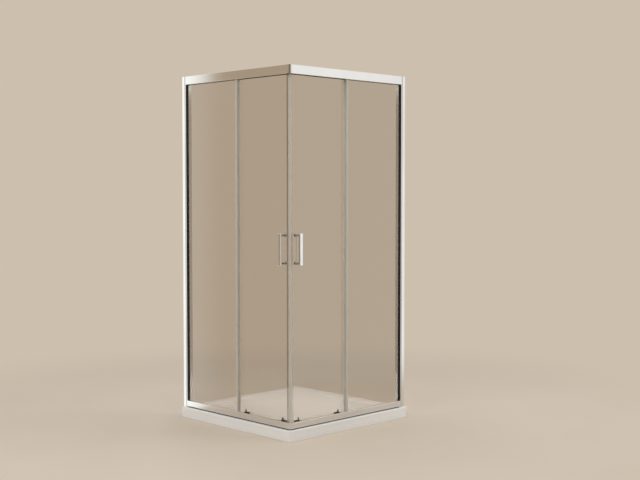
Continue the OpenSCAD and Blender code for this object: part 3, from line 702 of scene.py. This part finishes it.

# %% [markdown]
# Lofting through rings
#
# The tray, the black bead under the rails, the waste cover and the handles are all made the same
# way: rings of equal vertex count are laid out where the shape changes, and each ring is
# bridged to the next. A ring is a plane with its corners bevelled away, or a circle. This keeps
# the corner radius of every level under control, which a scaled or inset copy would not.
# Bridging two rings that lie in one plane can twist them, so the rings are first stacked
# as a tower, bridged there, and only then moved to their places.

# %% Rings and the loft
CORNER_STEPS = 7
RING_COUNT = 4 * (CORNER_STEPS + 1)
TOWER_STEP = 0.5


def ring(width, depth, corner, height, centre=(0.0, 0.0)):
    """A rectangle with rounded corners, as edges only, standing at its place."""
    bpy.ops.mesh.primitive_plane_add(size=1)
    made = bpy.context.object
    made.scale = (width, depth, 1)
    bpy.ops.object.transform_apply(location=True, rotation=True, scale=True)
    edit(made)
    bpy.ops.mesh.select_all(action="SELECT")
    bpy.ops.mesh.bevel(
        offset=corner, offset_type="OFFSET", segments=CORNER_STEPS, affect="VERTICES"
    )
    bpy.ops.mesh.delete(type="ONLY_FACE")
    leave()
    made.location = (*centre, height)
    return made


def circle(radius, height, centre=(0.0, 0.0)):
    """A circle with as many vertices as a ring, turned so that they meet in pairs."""
    turn = math.pi / RING_COUNT
    bpy.ops.mesh.primitive_circle_add(vertices=RING_COUNT, radius=radius, rotation=(0, 0, turn))
    made = bpy.context.object
    bpy.ops.object.transform_apply(location=True, rotation=True, scale=True)
    made.location = (*centre, height)
    return made


def edit_rings(piece, *numbers):
    """Opens a piece for editing with some of its rings selected."""
    edit(piece)
    for number in numbers:
        bpy.ops.object.vertex_group_set_active(group=f"ring{number}")
        bpy.ops.object.vertex_group_select()


def loft(name, rings, closed=False):
    """One skin through all rings; closed joins the last to the first, else the ends are filled."""
    last = len(rings) - 1
    places = [made.location.copy() for made in rings]
    for number, made in enumerate(rings):
        group = made.vertex_groups.new(name=f"ring{number}")
        group.add(range(len(made.data.vertices)), 1.0, "ADD")
        made.location = (0, 0, number * TOWER_STEP)
    pick(*rings)
    bpy.ops.object.join()
    piece = bpy.context.object
    piece.name = name
    for number in range(last):
        edit_rings(piece, number, number + 1)
        bpy.ops.mesh.bridge_edge_loops()
        leave()
    if closed:
        edit_rings(piece, 0, last)
        bpy.ops.mesh.bridge_edge_loops()
        leave()
    else:
        for number in (0, last):
            edit_rings(piece, number)
            bpy.ops.mesh.edge_face_add()
            leave()
    for number, place in enumerate(places):
        edit_rings(piece, number)
        bpy.ops.transform.translate(value=place - Vector((0, 0, number * TOWER_STEP)))
        leave()
    edit(piece)
    bpy.ops.mesh.select_all(action="SELECT")
    bpy.ops.mesh.normals_make_consistent(inside=False)
    leave()
    piece.vertex_groups.clear()
    return piece


# %% [markdown]
# Shower tray
#
# The sheet is drawn over the core, so no edge of the tray is sharp: the top edge is 3 mm
# round, and a soft step goes down from the rim to the floor. The floor is a shallow cone
# that falls to the waste in the free corner, so the step is hardly there in the far corner
# and deepest beside the waste. A recess takes the flange and its seal.

# %% Tray
TRAY_CORNER = 8.0 * MM
TRAY_EDGE = 3.0 * MM
TRAY_FOOT = 1.0 * MM
FLOOR_HALF_WIDTH = 380 * MM
FLOOR_CORNER = 40 * MM
STEP_WIDTH = 2.5 * MM
RECESS_EDGE = 0.8 * MM
RECESS_GAP = 0.1 * MM
CUP_HOLE_GAP = 2.0 * MM
ROUND_SHARP_ANGLE = 50
ARC_STEPS = 4
STEP_RINGS = 6

tray_low, tray_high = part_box("shower_tray")
flange_low, flange_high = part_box("waste_flange")
seal_low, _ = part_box("waste_seal")
cup_low, cup_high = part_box("waste_cup")
cover_low, cover_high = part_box("waste_cover")
tray_width = tray_high[0] - tray_low[0]
foot_width = tray_width - 2 * TRAY_FOOT
waste_centre = ((flange_low[0] + flange_high[0]) / 2, (flange_low[1] + flange_high[1]) / 2)
recess_radius = (flange_high[0] - flange_low[0]) / 2 + RECESS_GAP
cup_hole_radius = (cup_high[0] - cup_low[0]) / 2 + CUP_HOLE_GAP
floor_low = cover_low[2]
floor_fall = tray_high[2] - floor_low
fall_radius = math.sqrt(2) * (FLOOR_HALF_WIDTH + waste_centre[0])


def rounded_rim(width, corner, top, radius):
    """Rings that turn from an upright side to a level top."""
    made = []
    for i in range(ARC_STEPS + 1):
        angle = math.pi / 2 * i / ARC_STEPS
        back = radius * (1 - math.cos(angle))
        height = top - radius + radius * math.sin(angle)
        made.append(ring(width - 2 * back, width - 2 * back, corner - back, height))
    return made


def fall_at(x, y):
    """How far the floor lies below the rim, which it almost reaches in the far corner."""
    reach = math.hypot(x - waste_centre[0], y - waste_centre[1])
    rise = 2 * floor_fall * (reach - recess_radius) / (2 * fall_radius - recess_radius)
    return floor_fall - rise


tray_rings = [
    ring(foot_width, foot_width, TRAY_CORNER - TRAY_FOOT, tray_low[2]),
    ring(tray_width, tray_width, TRAY_CORNER, tray_low[2] + TRAY_FOOT),
]
tray_rings += rounded_rim(tray_width, TRAY_CORNER, tray_high[2], TRAY_EDGE)
for i in range(STEP_RINGS + 1):
    part = i / STEP_RINGS
    depth_share = part * part * (3 - 2 * part)
    half = FLOOR_HALF_WIDTH - STEP_WIDTH * part
    step_ring = ring(2 * half, 2 * half, FLOOR_CORNER - STEP_WIDTH * part, tray_high[2])
    for vertex in step_ring.data.vertices:
        vertex.co.z -= depth_share * fall_at(vertex.co.x, vertex.co.y)
    tray_rings.append(step_ring)
tray_rings.append(circle(recess_radius + RECESS_EDGE, floor_low, waste_centre))
tray_rings.append(circle(recess_radius, floor_low - RECESS_EDGE, waste_centre))
tray_rings.append(circle(recess_radius, seal_low[2], waste_centre))
tray_rings.append(circle(cup_hole_radius, seal_low[2], waste_centre))
tray_rings.append(circle(cup_hole_radius, tray_low[2], waste_centre))
tray = loft("moulded_tray", tray_rings, closed=True)
smooth(tray, ROUND_SHARP_ANGLE)
stand_for(tray, "shower_tray")

# %% [markdown]
# Black bead under the rails
#
# A bead of black rubber fills the shadow gap under the bottom rails and shows as a dark
# line under them. It runs from one wall profile to the other and goes round the free
# corner. It is lofted as a closed band whose rings are its section, all round the square,
# and then the two sides where no rail stands are cut away.

# %% Black bead under the rails
BEAD_BACK = 0.8 * MM
BEAD_WIDTH = 4.0 * MM
BEAD_HEIGHT = 3.9 * MM
FRAME_CORNER = 18 * MM
BEAD_CORNER = FRAME_CORNER - BEAD_BACK
BEAD_EDGE = 0.6 * MM
BEAD_END = 2 * BEAD_WIDTH

front_low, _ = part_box("front_bottom_rail")
_, side_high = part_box("side_bottom_rail")
frame_width = side_high[0] - front_low[0] - 2 * BEAD_BACK
bead_x = side_high[0] - BEAD_BACK - frame_width / 2
bead_y = front_low[1] + BEAD_BACK + frame_width / 2
bead_rings = []
for inset, height in (
    (0, 0),
    (0, BEAD_HEIGHT - BEAD_EDGE),
    (BEAD_EDGE, BEAD_HEIGHT),
    (BEAD_WIDTH, BEAD_HEIGHT),
    (BEAD_WIDTH, 0),
):
    width = frame_width - 2 * inset
    level = front_low[2] + height
    bead_rings.append(ring(width, width, BEAD_CORNER - inset, level, (bead_x, bead_y)))
bead = loft("black_bead_under_rails", bead_rings, closed=True)
for place, normal in (
    ((front_low[0] + BEAD_END, 0, 0), (-1, 0, 0)),
    ((0, side_high[1] - BEAD_END, 0), (0, 1, 0)),
):
    edit(bead)
    bpy.ops.mesh.select_all(action="SELECT")
    bpy.ops.mesh.bisect(plane_co=place, plane_no=normal, use_fill=True, clear_outer=True)
    leave()
smooth(bead, ROUND_SHARP_ANGLE)
bead.data.materials.append(rubber)
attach(bead, "root")
print(f"{bead.name}: {len(bead.data.polygons)} faces")

# %% [markdown]
# Waste cover
#
# The cover lies over the waste on three feet. It is the same white as the tray, slightly
# crowned so that water runs off, with a round edge.

# %% Waste cover
COVER_CROWN = 0.8 * MM
COVER_EDGE = 1.5 * MM
COVER_SHOULDER = 0.3 * COVER_EDGE
COVER_LIFT = 3.0 * MM
UNDERSIDE_SHARE = 0.3
SHOULDER_HEIGHT = 0.3 * MM
WIDEST_HEIGHT = 0.7 * MM
TOP_ROUND = 0.2 * MM
CROWN_SHARES = (0.95, 0.85, 0.7, 0.5, 0.25)
FOOT_RADIUS = 3.0 * MM
FOOT_TIP_SHARE = 0.8
FOOT_EDGE = 0.5 * MM
FEET = 3
FIRST_FOOT = 15

cover_radius = (cover_high[0] - cover_low[0]) / 2
under = cover_low[2] + COVER_LIFT
top = cover_high[2] - COVER_CROWN
cover_rings = [
    circle(cover_radius * UNDERSIDE_SHARE, under, waste_centre),
    circle(cover_radius - COVER_EDGE, under, waste_centre),
    circle(cover_radius - COVER_SHOULDER, under + SHOULDER_HEIGHT, waste_centre),
    circle(cover_radius, under + WIDEST_HEIGHT, waste_centre),
    circle(cover_radius - COVER_SHOULDER, top - TOP_ROUND, waste_centre),
]
for share in CROWN_SHARES:
    crown = COVER_CROWN * (1 - share * share)
    cover_rings.append(circle(cover_radius * share, top + crown, waste_centre))
cover = loft("crowned_waste_cover", cover_rings)
reach = cover_radius - 2 * FOOT_RADIUS
for i in range(FEET):
    angle = math.radians(FIRST_FOOT + i * 360 / FEET)
    place = (waste_centre[0] + reach * math.cos(angle), waste_centre[1] + reach * math.sin(angle))
    foot = loft(
        "cover_foot",
        [
            circle(FOOT_RADIUS * FOOT_TIP_SHARE, cover_low[2], place),
            circle(FOOT_RADIUS, cover_low[2] + FOOT_EDGE, place),
            circle(FOOT_RADIUS, under + FOOT_EDGE, place),
        ],
    )
    apply_modifier(cover, "BOOLEAN", object=foot, operation="UNION", solver="EXACT")
    bpy.data.objects.remove(foot)
smooth(cover)
stand_for(cover, "waste_cover")

# %% [markdown]
# Handles
#
# Each door has a short grip bar of flat section on two round standoffs. The bar is lofted
# along its height, with rings that draw in at both ends for the round-over that polishing
# leaves, and the standoffs are joined to it with a boolean, so that the handle is one
# casting. The clear washers stand out 1 mm round the standoffs, so their box gives the
# standoffs' heights. The front handle is modelled and its mirror image makes the other.

# %% Grip bar and standoffs
BAR_DEPTH = 12 * MM
BAR_CORNER = 4.5 * MM
BAR_END = 3.0 * MM
STANDOFF_RADIUS = 7 * MM
STANDOFF_EDGE = 1.0 * MM
STANDOFF_SIDES = 40
WASHER_LIP = 1 * MM

handle_low, handle_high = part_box("front_handle")
washer_low, washer_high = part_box("front_handle_washers")
bar_width = handle_high[0] - handle_low[0]
bar_centre = ((handle_low[0] + handle_high[0]) / 2, handle_low[1] + BAR_DEPTH / 2)


def bar_ring(back, height):
    """The bar's outline at a height, drawn in by back on all sides."""
    width = bar_width - 2 * back
    depth = BAR_DEPTH - 2 * back
    return ring(width, depth, BAR_CORNER - back, height, bar_centre)


bar_rings = []
for i in range(ARC_STEPS + 1):
    angle = math.pi / 2 * i / ARC_STEPS
    back = BAR_END * (1 - math.sin(angle))
    bar_rings.append(bar_ring(back, handle_low[2] + BAR_END * (1 - math.cos(angle))))
for i in range(ARC_STEPS + 1):
    angle = math.pi / 2 * i / ARC_STEPS
    back = BAR_END * (1 - math.cos(angle))
    bar_rings.append(bar_ring(back, handle_high[2] - BAR_END * (1 - math.sin(angle))))
front_handle = loft("front_grip_handle", bar_rings)

start_y = bar_centre[1]
foot_y = handle_high[1]
from_washer = STANDOFF_RADIUS + WASHER_LIP
for z in (washer_low[2] + from_washer, washer_high[2] - from_washer):
    bpy.ops.mesh.primitive_cylinder_add(
        vertices=STANDOFF_SIDES,
        radius=STANDOFF_RADIUS,
        depth=foot_y - start_y,
        location=(bar_centre[0], (foot_y + start_y) / 2, z),
        rotation=(math.radians(90), 0, 0),
    )
    standoff = bpy.context.object
    bpy.ops.object.transform_apply(location=True, rotation=True, scale=True)
    apply_modifier(standoff, "BEVEL", width=STANDOFF_EDGE, segments=3, limit_method="ANGLE")
    apply_modifier(front_handle, "BOOLEAN", object=standoff, operation="UNION", solver="EXACT")
    bpy.data.objects.remove(standoff)
smooth(front_handle)
stand_for(front_handle, "front_handle")


def side_twin(piece, name):
    """The mirror image of a front piece, on the side panel."""
    twin = bpy.data.objects.new(name, piece.data.copy())
    bpy.context.scene.collection.objects.link(twin)
    twin.data.transform(Matrix(((0, -1, 0, 0), (-1, 0, 0, 0), (0, 0, 1, 0), (0, 0, 0, 1))))
    edit(twin)
    bpy.ops.mesh.select_all(action="SELECT")
    bpy.ops.mesh.remove_doubles(threshold=WELD)
    bpy.ops.mesh.normals_make_consistent(inside=False)
    leave()
    smooth(twin)
    return twin


side_handle = side_twin(front_handle, "side_grip_handle")
stand_for(side_handle, "side_handle")

# %% [markdown]
# Floor, backdrop and what the metal mirrors
#
# The enclosure stands on a plain pale floor in front of a plain pale background. Close to
# the tray the floor takes shadows like any floor. Further out it fades into the very colour
# of the background, so no horizon cuts through the glass. Polished metal only looks like
# metal when what it mirrors changes from side to side, so rays that leave a mirror find a
# ring of tones round the horizon, darkest behind the camera and brightest at the right,
# like a studio that is lit from there, and white above. A colour ramp over the compass
# direction makes the ring.

# %% Floor and background
BACKDROP = "#CDBFAD"
RING_OF_TONES = (
    (-180, "#C3B39F"),
    (-135, "#B4A189"),
    (-90, "#A89780"),
    (-45, "#6F6256"),
    (-5, "#CBC0B2"),
    (30, "#FFFEFB"),
    (90, "#F3EFE9"),
    (135, BACKDROP),
    (180, "#C3B39F"),
)
CEILING = "#FFFDFA"
FLOOR_HALF = 30.0
CEILING_START = 0.35
CEILING_END = 0.8
FADE_START = 1.0
FADE_END = 3.2
PAINT_DRIFT = 500 * MM
SOFT_LIGHT = 0.45


def mirrored_colour(tree, direction):
    """What a mirror finds in a direction: the ring of tones, and white above."""
    level = add(tree, "VectorMath", {0: direction}, operation="NORMALIZE")
    parts = add(tree, "SeparateXYZ", {0: level.outputs["Vector"]})
    compass = add(
        tree, "Math", {0: parts.outputs["Y"], 1: parts.outputs["X"]}, operation="ARCTAN2"
    )
    share = add(
        tree,
        "MapRange",
        {"Value": compass.outputs[0], "From Min": -math.pi, "From Max": math.pi},
    )
    ring_of_tones = add(tree, "ValToRGB", {0: share.outputs["Result"]})
    ramp = ring_of_tones.color_ramp
    ramp.interpolation = "EASE"
    while len(ramp.elements) < len(RING_OF_TONES):
        ramp.elements.new(0.5)
    for element, (degrees, tone) in zip(ramp.elements, RING_OF_TONES):
        element.position = (degrees + 180) / 360
        element.color = colour(tone)
    above = add(
        tree,
        "MapRange",
        {"Value": parts.outputs["Z"], "From Min": CEILING_START, "From Max": CEILING_END},
        interpolation_type="SMOOTHSTEP",
    )
    with_ceiling = add(
        tree,
        "Mix",
        {0: above.outputs["Result"], 6: ring_of_tones.outputs["Color"], 7: colour(CEILING)},
        data_type="RGBA",
    )
    return with_ceiling.outputs[2]


def shown_colour(tree, direction):
    """The plain background, or what a mirror finds for rays that leave one.

    Rays that clear glass lets through count as glossy too, so those are taken off.
    """
    path = add(tree, "LightPath")
    mirrored = mirrored_colour(tree, direction)
    off_mirror = add(
        tree,
        "Math",
        {0: path.outputs["Is Glossy Ray"], 1: path.outputs["Is Transmission Ray"]},
        operation="SUBTRACT",
    )
    off_mirror.use_clamp = True
    picked = add(
        tree,
        "Mix",
        {0: off_mirror.outputs[0], 6: colour(BACKDROP), 7: mirrored},
        data_type="RGBA",
    )
    return picked.outputs[2]


def background_rays(tree):
    """1 for rays that should see the background's own colour."""
    path = add(tree, "LightPath")
    seen = add(
        tree,
        "Math",
        {0: path.outputs["Is Camera Ray"], 1: path.outputs["Is Transmission Ray"]},
        operation="ADD",
    )
    with_mirrors = add(
        tree,
        "Math",
        {0: seen.outputs[0], 1: path.outputs["Is Glossy Ray"]},
        operation="ADD",
    )
    with_mirrors.use_clamp = True
    return with_mirrors.outputs[0]


def floor_paint():
    sockets = {"Roughness": 0.7, "Specular IOR Level": 0.2}
    material, tree, shader = finish_named("floor_paint", sockets)
    tone = two_tones(tree, mottle(tree, PAINT_DRIFT, 0.0, 1.0), "#CFC2B2", "#D2C5B5")
    tree.links.new(tone, shader.inputs["Base Color"])
    where = add(tree, "TexCoord")
    far = add(tree, "VectorMath", {0: where.outputs["Object"]}, operation="LENGTH")
    fade = add(
        tree,
        "MapRange",
        {"Value": far.outputs["Value"], "From Min": FADE_START, "From Max": FADE_END},
        interpolation_type="SMOOTHERSTEP",
    )
    share = add(
        tree,
        "Math",
        {0: fade.outputs["Result"], 1: background_rays(tree)},
        operation="MULTIPLY",
    )
    glow = add(tree, "Emission", {"Color": shown_colour(tree, where.outputs["Object"])})
    both = add(
        tree,
        "MixShader",
        {0: share.outputs[0], 1: shader.outputs["BSDF"], 2: glow.outputs["Emission"]},
    )
    tree.links.new(both.outputs["Shader"], tree.nodes["Material Output"].inputs["Surface"])
    return material


bpy.ops.mesh.primitive_plane_add(size=2 * FLOOR_HALF)
floor = bpy.context.object
floor.name = "studio_floor"
floor.data.materials.append(floor_paint())

world = bpy.data.worlds.new("studio")
bpy.context.scene.world = world
world.use_nodes = True
sky = world.node_tree
direction = add(sky, "TexCoord").outputs["Generated"]
soft_light = sky.nodes["Background"]
soft_light.inputs["Color"].default_value = colour("#FFFFFF")
soft_light.inputs["Strength"].default_value = SOFT_LIGHT
shown = add(sky, "Background", {"Color": shown_colour(sky, direction), "Strength": 1.0})
chosen = add(
    sky,
    "MixShader",
    {0: background_rays(sky), 1: soft_light.outputs["Background"], 2: shown.outputs["Background"]},
)
sky.links.new(chosen.outputs["Shader"], sky.nodes["World Output"].inputs["Surface"])
print("floor", floor.name, "background", BACKDROP)

# %% [markdown]
# Reflector card
#
# A photographer sets a white card beside polished metal to give it a bright line. Here it
# stands left of the front panel. Only mirrors see it, so it lights nothing and hides
# nothing, and it fades out towards the front, so that the rail darkens smoothly.

# %% White card beside the front panel
CARD_X = -0.56
CARD_START = -0.48
CARD_END = -1.0
CARD_HEIGHT = 2.2
CARD_MIDDLE = 1.1
CARD_FADE = (CARD_START - 0.06, CARD_END + 0.18)
CARD_GLOW = 1.2


def card_glow():
    material, tree, shader = finish_named("card_glow", {})
    parts = add(tree, "SeparateXYZ", {0: add(tree, "TexCoord").outputs["Object"]})
    fade = add(
        tree,
        "MapRange",
        {"Value": parts.outputs["Y"], "From Min": CARD_FADE[0], "From Max": CARD_FADE[1]},
        interpolation_type="SMOOTHSTEP",
    )
    glow = add(tree, "Emission", {"Color": colour("#FFFEFB"), "Strength": CARD_GLOW})
    clear = add(tree, "BsdfTransparent")
    both = add(
        tree,
        "MixShader",
        {0: fade.outputs["Result"], 1: glow.outputs["Emission"], 2: clear.outputs["BSDF"]},
    )
    tree.links.new(both.outputs["Shader"], tree.nodes["Material Output"].inputs["Surface"])
    return material


bpy.ops.mesh.primitive_plane_add(size=1)
card = bpy.context.object
card.name = "reflector_card"
card.scale = (CARD_HEIGHT, CARD_START - CARD_END, 1)
card.rotation_euler = (0, math.radians(90), 0)
card.location = (CARD_X, (CARD_START + CARD_END) / 2, CARD_MIDDLE)
bpy.ops.object.transform_apply(location=True, rotation=True, scale=True)
card.data.materials.append(card_glow())
card.visible_camera = False
card.visible_diffuse = False
card.visible_transmission = False
card.visible_shadow = False
print("card from y", CARD_START, "to", CARD_END)

# %% [markdown]
# Lamps
#
# Large soft boxes light the object. The one overhead reaches into the cabin through its open
# top. The panes keep light from the tray, so a small weak one hangs just above that opening
# and shines down on it. The one at the right gives the side panel its light, and one in
# front fills the shadows. The lamps light surfaces, but neither the camera nor a mirror
# sees them, because the background is there for that.

# %% Soft boxes
def soft_box(name, place, aim, width, height, power, spread=180):
    bpy.ops.object.light_add(type="AREA", location=place)
    lamp = bpy.context.object
    lamp.name = name
    lamp.data.shape = "RECTANGLE"
    lamp.data.size = width
    lamp.data.size_y = height
    lamp.data.energy = power
    lamp.data.spread = math.radians(spread)
    lamp.rotation_euler = (Vector(aim) - Vector(place)).to_track_quat("-Z", "Y").to_euler()
    lamp.visible_camera = False
    lamp.visible_glossy = False
    lamp.visible_transmission = False


MIDDLE = (0.0, 0.0, 0.9)
FLOOR_MIDDLE = (0.0, 0.0, 0.0)
UNDER_CABIN_LAMP = (0.1, 0.0, 0.0)
soft_box("overhead", (0.0, 0.0, 4.2), FLOOR_MIDDLE, width=2.0, height=2.0, power=67)
soft_box("cabin", (0.1, 0.0, 2.1), UNDER_CABIN_LAMP, width=0.5, height=0.5, power=1.0, spread=38)
soft_box("right", (4.2, 3.2, 2.2), MIDDLE, width=2.6, height=3.2, power=76)
soft_box("front", (1.0, -5.0, 3.0), MIDDLE, width=3.0, height=2.0, power=87)

# %% [markdown]
# Colour view
#
# The Standard view shows each colour as it is written.

# %% Colour view
bpy.context.scene.view_settings.view_transform = "Standard"
